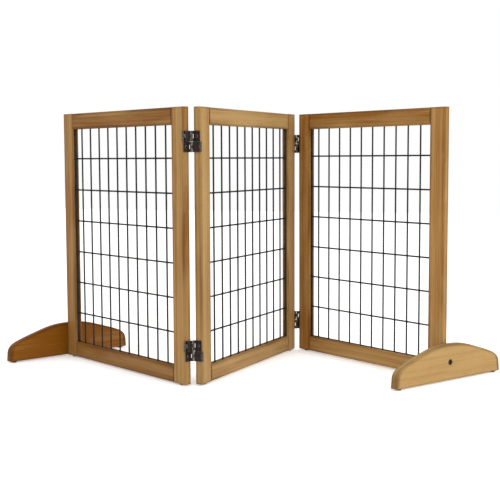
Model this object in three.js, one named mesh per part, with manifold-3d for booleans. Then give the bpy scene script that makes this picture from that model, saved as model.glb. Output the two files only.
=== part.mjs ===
// A three-panel folding pet gate: wooden frames filled with welded wire, joined by
// double-action hinges, standing on two cross feet. Millimetres, +Z up.
import * as THREE from 'three';
import { mergeVertices } from 'three/addons/utils/BufferGeometryUtils.js';
import Module from 'manifold-3d';

const wasm = await Module();
wasm.setup();

// Panel frames
const panelWidth = 488;
const panelHeight = 600;
const frameThickness = 17;
const stileWidth = 42;
const railHeight = 38;
const edgeRadius = 2.5;
const stileGrooveDepth = 9;
const railGrooveDepth = 12;
const tenonFit = 0.3;
const tenonEndGap = 1;
const shoulderGap = 0.3;

// Welded wire infill
const wireDiameter = 3.8;
const wirePitchAcross = 38.1;
const wirePitchUp = 76.2;
const weldSink = 0.4;
const wireFit = 0.2;
const endWireInset = 2.6;
const wireEndGap = 1.5;
const mostWireShift = 4;

// Fold of each hinge line at rest: 0 is straight, 180 is stacked
const leftFold = 112.5;
const rightFold = 115.5;

// Double-action hinges
const hingeHeight = 46;
const hingeInset = 51;
const leafThickness = 1;
const leafEdgeInset = 0.5;
const leafKnuckle = 7;
const knuckleGap = 0.3;
const barrelRadius = 2.5;
const pinRadius = 1.2;
const pinClearance = 0.3;
const pinStandoff = 3;
const pinOutset = 2.3;
const linkThickness = 1;
const linkSlack = 2;
const linkShoulder = 3.3;
const openPivotRelief = 4;
const screwHoleRadius = 1.8;
const screwHolesPerLeaf = 2;

// Feet, their bolts and the glides
const footLength = 336;
const footHeight = 80;
const footThickness = 18;
const footToeHeight = 18;
const boltHeight = 39.5;
const boltRadius = 3;
const boltEndWall = 7;
const boltHeadRadius = 6;
const boltHeadHeight = 4;
const boltFit = 0.3;
const nutRadius = 4.5;
const nutLength = 13;
const nutSetback = 1;
const glideHeight = 3;
const stileGlideRadius = 5;
const footGlideRadius = 6;
const footGlideInset = 15;

const seatGap = 0.3;
const roundSides = 12;
const barrelSides = 8;
const cornerSteps = 2;

const oak = new THREE.MeshStandardMaterial({ color: 0xb4905c, roughness: 0.5, metalness: 0 });
const blackWire = new THREE.MeshStandardMaterial({ color: 0x1e1c1c, roughness: 0.45, metalness: 0.3 });
const bronze = new THREE.MeshStandardMaterial({ color: 0x3a302a, roughness: 0.38, metalness: 0.85 });
const blackSteel = new THREE.MeshStandardMaterial({ color: 0x17171a, roughness: 0.4, metalness: 0.7 });
const rubber = new THREE.MeshStandardMaterial({ color: 0x141414, roughness: 0.85, metalness: 0 });

const grooveWidth = 2 * (wireDiameter + wireFit) - weldSink;
const pinSpan = frameThickness + 2 * pinOutset;
const linkLength = pinSpan + linkSlack;
const half = hingeHeight / 2;
const boltReach = stileWidth - stileGrooveDepth - boltEndWall;

// How many whole wire pitches fit between the stiles, and between the rails' grooves
const innerUprights = Math.floor((panelWidth - 2 * stileWidth) / wirePitchAcross);
const grooveToGroove = panelHeight - 2 * (railHeight - railGrooveDepth);
const wireRoom = grooveToGroove - 2 * mostWireShift - wireDiameter;
const crossWires = Math.floor(wireRoom / wirePitchUp) + 1;

// Solids: a three.js geometry becomes a manifold, and back
function solidOf(geometry) {
  const bare = geometry.index ? geometry.toNonIndexed() : geometry.clone();
  bare.deleteAttribute('normal');
  bare.deleteAttribute('uv');
  const welded = mergeVertices(bare, 1e-4);
  return new wasm.Manifold(new wasm.Mesh({
    numProp: 3,
    vertProperties: new Float32Array(welded.attributes.position.array),
    triVerts: new Uint32Array(welded.index.array),
  }));
}

function geometryOf(solid) {
  const mesh = solid.getMesh();
  const geometry = new THREE.BufferGeometry();
  geometry.setAttribute('position', new THREE.BufferAttribute(new Float32Array(mesh.vertProperties), 3));
  geometry.setIndex(new THREE.BufferAttribute(new Uint32Array(mesh.triVerts), 1));
  return geometry;
}

function joined(geometries) {
  return geometries.map(solidOf).reduce((sum, next) => sum.add(next));
}

function cut(solid, geometries) {
  return geometries.map(solidOf).reduce((rest, tool) => rest.subtract(tool), solid);
}

// A box between two corners
function block(low, high) {
  const size = high.map((value, axis) => Math.abs(value - low[axis]));
  const middle = high.map((value, axis) => (value + low[axis]) / 2);
  return new THREE.BoxGeometry(...size).translate(...middle);
}

// An upright cylinder standing at x, y from zLow to zHigh
function post(radius, x, y, zLow, zHigh, sides) {
  const cylinder = new THREE.CylinderGeometry(radius, radius, zHigh - zLow, sides);
  return cylinder.rotateX(Math.PI / 2).translate(x, y, (zLow + zHigh) / 2);
}

// A cylinder lying along X at y, z
function bar(radius, xLow, xHigh, y, z, sides) {
  const cylinder = new THREE.CylinderGeometry(radius, radius, xHigh - xLow, sides);
  return cylinder.rotateZ(-Math.PI / 2).translate((xLow + xHigh) / 2, y, z);
}

// A frame member's section: depth along X, thickness along Y, rounded long edges,
// and a groove of the given depth in the edge that faces the infill (at x = depth)
function groovedSection(depth, grooveDepth) {
  const r = edgeRadius;
  const t = frameThickness / 2;
  const g = grooveWidth / 2;
  const shape = new THREE.Shape();
  shape.moveTo(r, -t);
  shape.lineTo(depth - r, -t);
  shape.absarc(depth - r, r - t, r, -Math.PI / 2, 0, false);
  shape.lineTo(depth, -g);
  shape.lineTo(depth - grooveDepth, -g);
  shape.lineTo(depth - grooveDepth, g);
  shape.lineTo(depth, g);
  shape.absarc(depth - r, t - r, r, 0, Math.PI / 2, false);
  shape.lineTo(r, t);
  shape.absarc(r, t - r, r, Math.PI / 2, Math.PI, false);
  shape.absarc(r, r - t, r, Math.PI, 1.5 * Math.PI, false);
  return shape;
}

function extruded(shape, depth) {
  return new THREE.ExtrudeGeometry(shape, { depth, bevelEnabled: false, curveSegments: cornerSteps });
}

// Stile in the panel's frame: outer face at x = 0, standing on its glide
function stileSolid(withFootBolt) {
  const stile = extruded(groovedSection(stileWidth, stileGrooveDepth), panelHeight);
  const solid = solidOf(stile.translate(0, 0, glideHeight));
  if (!withFootBolt) return solid;
  const z = glideHeight + boltHeight;
  const nutEnd = nutSetback + nutLength + boltFit;
  return cut(solid, [
    bar(nutRadius + boltFit, -1, nutEnd, 0, z, roundSides),
    bar(boltRadius + boltFit, nutEnd - 1, boltReach + 1, 0, z, roundSides),
  ]);
}

// Bottom rail in the panel's frame, with a stub tenon in each stile's groove
function railSolid() {
  const low = stileWidth + shoulderGap;
  const high = panelWidth - low;
  const body = extruded(groovedSection(railHeight, railGrooveDepth), high - low);
  body.rotateX(Math.PI / 2).rotateZ(Math.PI / 2).rotateX(Math.PI / 2);
  body.computeBoundingBox();
  const box = body.boundingBox;
  body.translate(low - box.min.x, -(box.min.y + box.max.y) / 2, glideHeight - box.min.z);
  const tenonHalf = grooveWidth / 2 - tenonFit;
  const tenonReach = stileGrooveDepth - tenonEndGap;
  const tenonTop = glideHeight + railHeight - railGrooveDepth - tenonFit;
  const tenons = [
    block([stileWidth - tenonReach, -tenonHalf, glideHeight], [low + 2, tenonHalf, tenonTop]),
    block([high - 2, -tenonHalf, glideHeight], [panelWidth - stileWidth + tenonReach, tenonHalf, tenonTop]),
  ];
  return joined([body, ...tenons]);
}

// Welded infill: uprights in front, cross wires behind, sunk together at the welds
function infillSolid(shiftAcross, shiftUp) {
  const r = wireDiameter / 2;
  const layer = r - weldSink / 2;
  const middle = panelWidth / 2 + shiftAcross;
  const firstUpright = middle - (innerUprights - 1) / 2 * wirePitchAcross;
  const endWires = [stileWidth + endWireInset, panelWidth - stileWidth - endWireInset];
  const uprights = [...endWires];
  for (let k = 0; k < innerUprights; k += 1) uprights.push(firstUpright + k * wirePitchAcross);
  const low = glideHeight + railHeight - railGrooveDepth + wireEndGap;
  const high = low + grooveToGroove - 2 * wireEndGap;
  const pieces = uprights.map((x) => block([x - r, -layer - r, low], [x + r, -layer + r, high]));
  const end = stileWidth - stileGrooveDepth + wireEndGap;
  const firstCross = (low + high - (crossWires - 1) * wirePitchUp) / 2 + shiftUp;
  for (let k = 0; k < crossWires; k += 1) {
    const z = firstCross + k * wirePitchUp;
    pieces.push(block([end, layer - r, z - r], [panelWidth - end, layer + r, z + r]));
  }
  return joined(pieces);
}

// Cross foot in the panel's frame, against the stile face at x = 0: a low hump on a
// flat base, its outline drawn as one half and mirrored
function footSolid() {
  const l = footLength / 2;
  const h = footHeight;
  const halfOutline = new THREE.CurvePath();
  const at = (along, up) => new THREE.Vector2(along * l, up * h);
  const toe = new THREE.Vector2(l, footToeHeight);
  halfOutline.add(new THREE.CubicBezierCurve(at(0, 1), at(0.28, 1), at(0.38, 0.91), at(0.62, 0.76)));
  halfOutline.add(new THREE.QuadraticBezierCurve(at(0.62, 0.76), at(0.75, 0.68), at(0.88, 0.57)));
  halfOutline.add(new THREE.CubicBezierCurve(at(0.88, 0.57), at(0.95, 0.5), at(1, 0.4), toe));
  const right = halfOutline.curves.flatMap((curve) => curve.getPoints(5).slice(1));
  const left = right.map((point) => new THREE.Vector2(-point.x, point.y)).reverse();
  const shape = new THREE.Shape([
    new THREE.Vector2(l, 0), new THREE.Vector2(-l, 0), ...left, at(0, 1), ...right,
  ].reverse());
  const foot = extruded(shape, footThickness);
  foot.rotateX(Math.PI / 2).rotateZ(Math.PI / 2);
  foot.translate(-footThickness - seatGap, 0, glideHeight);
  const z = glideHeight + boltHeight;
  const face = -footThickness - seatGap;
  return cut(solidOf(foot), [
    bar(boltRadius + boltFit, face - 1, 1, 0, z, roundSides),
    bar(boltHeadRadius + boltFit, face - 1, face + boltHeadHeight + boltFit, 0, z, roundSides),
  ]);
}

// Foot bolt, its head sunk in the foot's outer face
function footBoltSolid() {
  const z = glideHeight + boltHeight;
  const face = -footThickness - seatGap;
  return joined([
    bar(boltHeadRadius, face, face + boltHeadHeight, 0, z, roundSides),
    bar(boltRadius, face + boltHeadHeight - 1, boltReach, 0, z, roundSides),
  ]);
}

// Threaded insert in the end stile that the foot bolt screws into
function insertNutSolid() {
  const z = glideHeight + boltHeight;
  const sleeve = bar(nutRadius, nutSetback, nutSetback + nutLength, 0, z, roundSides);
  return cut(solidOf(sleeve), [bar(boltRadius + boltFit, -1, nutSetback + nutLength + 1, 0, z, roundSides)]);
}

// Heights of one hinge half: the leaf's two knuckles and the link's one between them
function halfHeights(upper) {
  const low = (upper ? half : 0) + knuckleGap / 2;
  const high = low + half - knuckleGap;
  return {
    leaf: [[low, low + leafKnuckle], [high - leafKnuckle, high]],
    link: [low + leafKnuckle + knuckleGap, high - leafKnuckle - knuckleGap],
    whole: [low, high],
  };
}

// Leaf on a stile's end face, which is x = 0 with +X outwards. One half carries its
// barrel past the front edge and the other half past the back edge. The half whose
// link has no pin, if any, is notched so that the link's free knuckle can drift.
function leafSolid(frontUp, openUpper = null) {
  const plateHalf = frameThickness / 2 - leafEdgeInset;
  const inner = seatGap;
  const outer = seatGap + leafThickness;
  const pieces = [block([inner, -plateHalf, 0], [outer, plateHalf, hingeHeight])];
  const holes = [];
  for (const upper of [false, true]) {
    const side = upper === frontUp ? -1 : 1;
    const y = side * pinSpan / 2;
    for (const [low, high] of halfHeights(upper).leaf) {
      pieces.push(block([inner, side * (plateHalf - 1), low], [outer, y, high]));
      pieces.push(post(barrelRadius, pinStandoff, y, low, high, barrelSides));
      holes.push(post(pinRadius + pinClearance, pinStandoff, y, low - 1, high + 1, barrelSides));
    }
  }
  for (let k = 0; k < screwHolesPerLeaf; k += 1) {
    const z = (k + 0.5) * hingeHeight / screwHolesPerLeaf;
    holes.push(bar(screwHoleRadius, -1, outer + 1, 0, z, barrelSides));
  }
  if (openUpper !== null) {
    const side = openUpper === frontUp ? -1 : 1;
    const [low, high] = halfHeights(openUpper).link;
    const reach = [0, side * (plateHalf - openPivotRelief), low - knuckleGap];
    holes.push(block(reach, [outer + 1, side * pinSpan, high + knuckleGap]));
  }
  return cut(joined(pieces), holes);
}

// Link from a pin at the origin to a pin at y = linkLength. Its broad web stops short
// of both barrels, and further from the far one if that has no pin.
function linkSolid(upper, farRelief = 0) {
  const heights = halfHeights(upper);
  const [low, high] = heights.link;
  const [wideLow, wideHigh] = heights.whole;
  const t = linkThickness / 2;
  const pieces = [
    block([-t, 0, low], [t, linkLength, high]),
    block([-t, linkShoulder, wideLow], [t, linkLength - linkShoulder - farRelief, wideHigh]),
  ];
  const holes = [];
  for (const y of [0, linkLength]) {
    pieces.push(post(barrelRadius, 0, y, low, high, barrelSides));
    holes.push(post(pinRadius + pinClearance, 0, y, low - 1, high + 1, barrelSides));
  }
  return cut(joined(pieces), holes);
}

function pinGeometry(upper) {
  const [low, high] = halfHeights(upper).whole;
  return post(pinRadius, 0, 0, low, high, barrelSides);
}

function piece(name, geometry, material) {
  const mesh = new THREE.Mesh(geometry, material);
  mesh.name = name;
  return mesh;
}

// Turns about Z and moves an object, and hands it back
function placed(object, x, y, z, turn) {
  object.position.set(x, y, z);
  object.rotation.z = turn;
  return object;
}

const hingeLevels = [
  ['bottom', glideHeight + hingeInset],
  ['top', glideHeight + panelHeight - hingeInset - hingeHeight],
];

// One framed panel: x from 0 to panelWidth, front face at -Y. footEnd is 'left' or
// 'right' where a cross foot is bolted on, else null.
function panel(name, shiftAcross, shiftUp, footEnd) {
  const group = new THREE.Group();
  const midHeight = glideHeight + panelHeight / 2;
  for (const end of ['left', 'right']) {
    const onRight = end === 'right';
    const hasFoot = end === footEnd;
    const side = new THREE.Group();
    side.add(piece(`${name}_${end}_stile`, geometryOf(stileSolid(hasFoot)), oak));
    const glide = post(stileGlideRadius, stileWidth / 2, 0, 0, glideHeight - seatGap, roundSides);
    side.add(piece(`${name}_${end}_glide`, glide, rubber));
    if (hasFoot) side.add(...footPieces(name));
    group.add(placed(side, onRight ? panelWidth : 0, 0, 0, onRight ? Math.PI : 0));
  }
  const bottomRail = geometryOf(railSolid());
  const topRail = bottomRail.clone().translate(0, 0, -midHeight).rotateX(Math.PI);
  group.add(piece(`${name}_bottom_rail`, bottomRail, oak));
  group.add(piece(`${name}_top_rail`, topRail.translate(0, 0, midHeight), oak));
  group.add(piece(`${name}_wire_infill`, geometryOf(infillSolid(shiftAcross, shiftUp)), blackWire));
  return group;
}

function footPieces(name) {
  const x = -seatGap - footThickness / 2;
  const y = footLength / 2 - footGlideInset;
  const pad = (offset) => post(footGlideRadius, x, offset, 0, glideHeight - seatGap, roundSides);
  return [
    piece(`${name}_foot`, geometryOf(footSolid()), oak),
    piece(`${name}_foot_bolt`, geometryOf(footBoltSolid()), blackSteel),
    piece(`${name}_insert_nut`, geometryOf(insertNutSolid()), blackSteel),
    piece(`${name}_foot_pad_a`, pad(-y), rubber),
    piece(`${name}_foot_pad_b`, pad(y), rubber),
  ];
}

// Crossed four-bar: the pins on the closing side come this near, and the drive link
// then leans off the leaf by `lean` while the cross link opens to `lean` + fold
function linkAngles(fold) {
  const reach = pinSpan * Math.sin(fold / 2);
  const near = Math.sqrt(reach ** 2 + linkLength ** 2 - pinSpan ** 2) - reach;
  const cosLean = (pinSpan ** 2 + linkLength ** 2 - near ** 2) / (2 * pinSpan * linkLength);
  const lean = Math.acos(Math.min(1, cosLean));
  return { lean, open: lean + fold };
}

// Both hinges of the fold at the middle panel's left end, in that panel's frame. The
// fold at its right end is the same thing turned half round, with its halves swapped.
function hingesAt(name, fold, driveUpper) {
  const group = new THREE.Group();
  const { lean, open } = linkAngles(fold);
  const front = new THREE.Vector2(-pinStandoff, -pinSpan / 2);
  const back = new THREE.Vector2(-pinStandoff, pinSpan / 2);
  const far = new THREE.Vector2(-Math.sin(lean), Math.cos(lean)).multiplyScalar(linkLength).add(front);
  for (const [level, z] of hingeLevels) {
    const label = `${name}_${level}_hinge`;
    const leaf = piece(`${label}_mid_leaf`, geometryOf(leafSolid(!driveUpper)), bronze);
    const drive = piece(`${label}_drive_link`, geometryOf(linkSolid(driveUpper)), bronze);
    const crossSolid = linkSolid(!driveUpper, openPivotRelief);
    const cross = piece(`${label}_cross_link`, geometryOf(crossSolid), bronze);
    group.add(placed(leaf, 0, 0, z, Math.PI));
    group.add(placed(drive, front.x, front.y, z, lean));
    group.add(placed(cross, back.x, back.y, z, Math.PI - open));
    group.add(placed(piece(`${label}_mid_pin`, pinGeometry(driveUpper), bronze), front.x, front.y, z, 0));
    group.add(placed(piece(`${label}_outer_pin`, pinGeometry(driveUpper), bronze), far.x, far.y, z, 0));
    group.add(placed(piece(`${label}_cross_pin`, pinGeometry(!driveUpper), bronze), back.x, back.y, z, 0));
  }
  return { group, far };
}

function outerLeaves(name, group, x, turn, driveUpper) {
  for (const [level, z] of hingeLevels) {
    const solid = leafSolid(!driveUpper, !driveUpper);
    const leaf = piece(`${name}_${level}_hinge_outer_leaf`, geometryOf(solid), bronze);
    group.add(placed(leaf, x, 0, z, turn));
  }
}

// The outer panel hangs on the drive link's far pin; its own pin is at `pin`
function hung(group, pin, far, fold) {
  const turned = pin.clone().rotateAround(new THREE.Vector2(), -fold);
  return placed(group, far.x - turned.x, far.y - turned.y, 0, -fold);
}

// The right-hand fold is worked out as a left-hand one and turned half round the
// middle panel, so both outer panels are hung by the same rule.
const gate = new THREE.Group();
const folds = [
  { name: 'left', angle: THREE.MathUtils.degToRad(leftFold), driveUpper: false, shiftAcross: 2, shiftUp: 0 },
  { name: 'right', angle: THREE.MathUtils.degToRad(rightFold), driveUpper: true, shiftAcross: -3, shiftUp: 4 },
];
gate.add(panel('mid', -4, 0, null));
for (const { name, angle, driveUpper, shiftAcross, shiftUp } of folds) {
  const onLeft = name === 'left';
  const side = new THREE.Group();
  const { group: hinges, far } = hingesAt(name, angle, driveUpper);
  const leafed = new THREE.Group();
  outerLeaves(name, leafed, panelWidth, 0, driveUpper);
  const frame = panel(name, shiftAcross, shiftUp, name);
  leafed.add(onLeft ? frame : placed(frame, panelWidth, 0, 0, Math.PI));
  side.add(hinges, hung(leafed, new THREE.Vector2(panelWidth + pinStandoff, pinSpan / 2), far, angle));
  gate.add(onLeft ? side : placed(side, panelWidth, 0, 0, Math.PI));
}

// The gate's span lies along X: the line between the two end stiles' outer faces
gate.updateMatrixWorld(true);
const leftEnd = gate.getObjectByName('left_left_stile').getWorldPosition(new THREE.Vector3());
const rightEnd = gate.getObjectByName('right_right_stile').getWorldPosition(new THREE.Vector3());
gate.rotation.z = -Math.atan2(rightEnd.y - leftEnd.y, rightEnd.x - leftEnd.x);
gate.updateMatrixWorld(true);
const box = new THREE.Box3().setFromObject(gate, true);
gate.position.set(-(box.min.x + box.max.x) / 2, -(box.min.y + box.max.y) / 2, -box.min.z);

export default gate;
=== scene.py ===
import bpy
import math
import numpy as np
from mathutils import Matrix, Vector


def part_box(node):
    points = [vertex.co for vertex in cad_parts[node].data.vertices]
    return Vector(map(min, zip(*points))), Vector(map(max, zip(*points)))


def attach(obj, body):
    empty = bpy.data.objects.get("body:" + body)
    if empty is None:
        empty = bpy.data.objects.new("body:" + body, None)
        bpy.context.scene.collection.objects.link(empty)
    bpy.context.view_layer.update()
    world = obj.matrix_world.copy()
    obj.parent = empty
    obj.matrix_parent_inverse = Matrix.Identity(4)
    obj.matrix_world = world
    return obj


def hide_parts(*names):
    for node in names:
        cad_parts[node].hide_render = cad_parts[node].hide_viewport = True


# Looks for a folding pet gate: three wooden frames filled with welded wire, four
# double-action hinges and two cross feet. Metres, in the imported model's own frame.
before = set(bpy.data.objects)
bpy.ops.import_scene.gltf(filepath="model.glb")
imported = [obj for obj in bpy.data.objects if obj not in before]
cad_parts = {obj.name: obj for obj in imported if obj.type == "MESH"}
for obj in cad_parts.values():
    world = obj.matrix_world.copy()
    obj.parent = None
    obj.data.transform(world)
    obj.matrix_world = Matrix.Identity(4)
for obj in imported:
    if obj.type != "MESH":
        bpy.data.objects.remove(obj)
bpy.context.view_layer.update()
print("frame loaded,", len(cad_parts), "nodes")

# ---- the camera first

cameraView = {
    "place": (0.82859, -2.30778, 0.49163),
    "turn": 19.639,  # degrees left of +Y
    "tilt": 5.0,  # degrees down
    "roll": -0.239,
    "focalLength": 75.06,
    "sensorWidth": 36,
    "clip": (0.05, 60),
}


# Stands upright, tips down, turns about the vertical, then rolls about its own axis
def makeCamera(view):
    lens = bpy.data.cameras.new("viewCamera")
    lens.lens, lens.sensor_width = view["focalLength"], view["sensorWidth"]
    lens.clip_start, lens.clip_end = view["clip"]
    camera = bpy.data.objects.new("viewCamera", lens)
    bpy.context.scene.collection.objects.link(camera)
    upright = Matrix.Rotation(math.radians(90 - view["tilt"]), 4, "X")
    turned = Matrix.Rotation(math.radians(view["turn"]), 4, "Z") @ upright
    roll = Matrix.Rotation(math.radians(view["roll"]), 4, "Z")
    camera.matrix_world = Matrix.Translation(view["place"]) @ turned @ roll
    bpy.context.scene.camera = camera


makeCamera(cameraView)
print("camera placed")

# ---- places, all read from the frame


# Half the sum of the box's two corners
def middleOf(node):
    low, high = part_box(node)
    return (np.array(low) + np.array(high)) / 2


# A panel's own axes from its two glides: along it from left to right, through it from
# front to back, and up. The origin is on the floor midway between the glides.
def panelAxes(name):
    left, right = middleOf(f"{name}_left_glide"), middleOf(f"{name}_right_glide")
    along = (right - left) * (1, 1, 0)
    along = along / np.linalg.norm(along)
    through = np.array((-along[1], along[0], 0))
    return {"origin": (left + right) / 2 * (1, 1, 0), "rows": np.array((along, through, (0, 0, 1)))}


# World to local is a dot product with each axis, and local to world is the sum of the
# axes, each times its own coordinate
def toLocal(points, axes):
    return (np.asarray(points) - axes["origin"]) @ axes["rows"].T


def toWorld(points, axes):
    return axes["origin"] + points @ axes["rows"]


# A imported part's vertices in the given axes
def nodePoints(node, axes):
    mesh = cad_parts[node].data
    flat = np.zeros(len(mesh.vertices) * 3, np.float32)
    mesh.vertices.foreach_get("co", flat)
    return toLocal(flat.reshape(-1, 3).astype(float), axes)


# The least and the greatest coordinates of those points
def localBox(node, axes):
    points = nodePoints(node, axes)
    return points.min(0), points.max(0)


# Axes on a panel's end face: x outwards from the face, z up. `outwards` is -1 at the
# panel's left end and +1 at its right end.
def endAxes(name, outwards):
    axes = panels[name]
    side = "left" if outwards < 0 else "right"
    low, high = localBox(f"{name}_{side}_stile", axes)
    face = low[0] if outwards < 0 else high[0]
    rows = axes["rows"] * np.array(((outwards,), (outwards,), (1,)))
    return {"origin": axes["origin"] + face * axes["rows"][0], "rows": rows}


# Half a turn about the vertical changes the sign of both level axes
def turnedHalfRound(axes):
    return {"origin": axes["origin"], "rows": axes["rows"] * np.array(((-1,), (-1,), (1,)))}


panelBodies = {"left": "left_panel", "mid": "mid_panel", "right": "right_panel"}
panels = {name: panelAxes(name) for name in panelBodies}

# ---- surfaces

fadeShare = 0.4  # the most of a side that the fading of one edge may take

# Quads between neighbouring rings of a grid of points, ring by ring. An open stack of
# rings is closed with one flat face at each end, a looped one runs back to its start.
def ringShell(rings, masks=None, looped=False):
    count, around = rings.shape[:2]
    last = count if looped else count - 1
    i, j = np.meshgrid(np.arange(last), np.arange(around), indexing="ij")
    nextI, nextJ = (i + 1) % count, (j + 1) % around
    corners = (i * around + j, i * around + nextJ, nextI * around + nextJ, nextI * around + j)
    faces = np.stack(corners, -1).reshape(-1, 4).tolist()
    if not looped:
        faces.append(np.arange(around)[::-1].tolist())
        faces.append((np.arange(around) + (count - 1) * around).tolist())
    masks = np.zeros((count, around, 2)) if masks is None else masks
    return {"points": rings.reshape(-1, 3), "faces": faces, "masks": masks.reshape(-1, 2)}


# The outward normal at each outline point, lengthened so that a step along it moves
# both neighbouring sides by one: the sum of their normals over one plus their cosine
def outlineNormals(outline):
    ahead = np.roll(outline, -1, 0) - outline
    ahead /= np.linalg.norm(ahead, axis=1, keepdims=True)
    normal = np.stack((ahead[:, 1], -ahead[:, 0]), 1)
    before = np.roll(normal, 1, 0)
    cosine = (normal * before).sum(1, keepdims=True)
    return (normal + before) / (1 + cosine)


# Twice the signed area is the sum of x times next y less y times next x
def counterClockwise(outline):
    x, y = outline.T
    area = (x * np.roll(y, -1) - y * np.roll(x, -1)).sum()
    return outline if area > 0 else outline[::-1]


# Rounds each corner with an arc tangent to both sides: the arc is the spherical blend
# of the two radii that reach its ends. Two more points per side fade the edge mask.
def roundedOutline(corners, radius, steps=4, fade=0.004):
    corners = np.asarray(corners, float)
    radii = np.broadcast_to(np.asarray(radius, float), len(corners))[:, None]
    back = np.roll(corners, 1, 0) - corners
    ahead = np.roll(corners, -1, 0) - corners
    back /= np.linalg.norm(back, axis=1, keepdims=True)
    ahead /= np.linalg.norm(ahead, axis=1, keepdims=True)
    half = np.arccos(np.clip((back * ahead).sum(1, keepdims=True), -1, 1)) / 2
    bisector = (back + ahead) / np.linalg.norm(back + ahead, axis=1, keepdims=True)
    centre = corners + bisector * radii / np.sin(half)
    start, end = corners + back * radii / np.tan(half), corners + ahead * radii / np.tan(half)
    sweep = (np.pi - 2 * half)[:, None]
    t = np.linspace(0, 1, steps + 1)[None, :, None]
    fromStart = np.sin((1 - t) * sweep) * (start - centre)[:, None]
    fromEnd = np.sin(t * sweep) * (end - centre)[:, None]
    arcs = centre[:, None] + (fromStart + fromEnd) / np.sin(sweep)
    side = np.roll(start, -1, 0) - end
    length = np.linalg.norm(side, axis=1, keepdims=True)
    step = side / length * np.minimum(fade, fadeShare * length)
    flats = np.stack((end + step, end + side - step), 1)
    points = np.concatenate((arcs, flats), 1).reshape(-1, 2)
    edge = np.concatenate((np.ones((len(corners), steps + 1)), np.zeros((len(corners), 2))), 1)
    return points, edge.reshape(-1)


# A straight prism whose end edges are eased: towards each end the outline shrinks by
# ease * (1 - sin) while it advances by ease * (1 - cos), a quarter of a circle. The end
# face has one more outline, a further `rim` inside, where the edge mask has faded.
def easedPrism(outline, edge, low, high, ease, steps=3, fade=0.004, rim=0.0, endGrain=False):
    angle = np.linspace(0, np.pi / 2, steps + 1)
    inset, rise = ease * (1 - np.sin(angle)), ease * (1 - np.cos(angle))
    flat = min(fade, fadeShare * (high - low - 2 * ease))
    lowEnd = np.concatenate((low + rise, [low + ease + flat]))
    insets, endMask = np.concatenate((inset, [0])), np.concatenate((np.ones(steps + 1), [0]))
    if rim:
        lowEnd, insets = np.concatenate(([low], lowEnd)), np.concatenate(([ease + rim], insets))
        endMask = np.concatenate(([0], endMask))
    stations = np.concatenate((lowEnd, low + high - lowEnd[::-1]))
    insets = np.concatenate((insets, insets[::-1]))
    endMask = np.concatenate((endMask, endMask[::-1]))
    shrunk = outline[None] - insets[:, None, None] * outlineNormals(outline)[None]
    along = np.broadcast_to(stations[:, None, None], (*shrunk.shape[:2], 1))
    rings = np.concatenate((shrunk, along), 2)
    edges = np.maximum(endMask[:, None], edge[None])
    if rim:
        edges[[0, -1]] = 0
    capped = np.zeros(len(stations))
    if endGrain:
        capped[[0, 1, -2, -1]] = 1
    masks = np.stack((edges, np.broadcast_to(capped[:, None], edges.shape)), 2)
    return ringShell(rings, masks)


# A turned shape about z: each profile point (radius, height) becomes a circle
def turned(profile, sides=24, centre=(0, 0)):
    profile = np.asarray(profile, float)
    angle = np.linspace(0, 2 * np.pi, sides, endpoint=False)
    circle = np.stack((np.cos(angle), np.sin(angle)), 1)
    flat = profile[:, None, :1] * circle[None] + np.asarray(centre)
    height = np.broadcast_to(profile[:, None, 1:], (*flat.shape[:2], 1))
    return ringShell(np.concatenate((flat, height), 2))


# Moves the prism's own axes (outline a, outline b, length) onto x, y and z in the
# order given, which stays right-handed for the three cyclic orders
def reordered(shell, order):
    return {**shell, "points": shell["points"][:, order]}


alongX = [2, 0, 1]
alongY = [1, 2, 0]


# Adds one step to every point
def shifted(shell, step):
    return {**shell, "points": shell["points"] + np.asarray(step)}


# ---- materials


# Links each input that comes from another node, and sets each that is a plain value
def fillInputs(tree, node, inputs):
    for key, value in inputs.items():
        if isinstance(value, bpy.types.NodeSocket):
            tree.links.new(value, node.inputs[key])
        else:
            node.inputs[key].default_value = value
    return node


def addNode(tree, kind, inputs=None, **settings):
    node = tree.nodes.new(kind)
    for key, value in settings.items():
        setattr(node, key, value)
    return fillInputs(tree, node, inputs or {})


# The place times a scale on each axis: a small scale stretches the pattern that way
def scaledPlace(tree, place, scale):
    return addNode(tree, "ShaderNodeMapping", {"Vector": place, "Scale": scale}).outputs["Vector"]


# Fractal noise, between 0 and 1
def noiseOf(tree, place, scale, detail=3, roughness=0.55, distortion=0):
    inputs = {"Vector": place, "Scale": scale, "Detail": detail, "Roughness": roughness}
    return addNode(tree, "ShaderNodeTexNoise", {**inputs, "Distortion": distortion}).outputs["Fac"]


# A smooth step from the old range to the new one
def ranged(tree, value, low, high, newLow=0.0, newHigh=1.0):
    inputs = {"Value": value, "From Min": low, "From Max": high, "To Min": newLow, "To Max": newHigh}
    return addNode(tree, "ShaderNodeMapRange", inputs, interpolation_type="SMOOTHSTEP").outputs["Result"]


def maths(tree, operation, a, b):
    return addNode(tree, "ShaderNodeMath", {0: a, 1: b}, operation=operation).outputs["Value"]


def mixedColour(tree, fac, a, b, blend="MIX"):
    node = addNode(tree, "ShaderNodeMix", data_type="RGBA", blend_type=blend)
    fillInputs(tree, node, {0: fac, 6: a, 7: b})  # the factor and the two colours
    return node.outputs[2]


def newGroup(name, inputs, outputs):
    group = bpy.data.node_groups.new(name, "ShaderNodeTree")
    for label, kind in inputs:
        group.interface.new_socket(label, in_out="INPUT", socket_type=kind)
    for label, kind in outputs:
        group.interface.new_socket(label, in_out="OUTPUT", socket_type=kind)
    source = group.nodes.new("NodeGroupInput")
    sink = group.nodes.new("NodeGroupOutput")
    return group, source.outputs, sink.inputs


vector, colour, number = "NodeSocketVector", "NodeSocketColor", "NodeSocketFloat"

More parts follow.
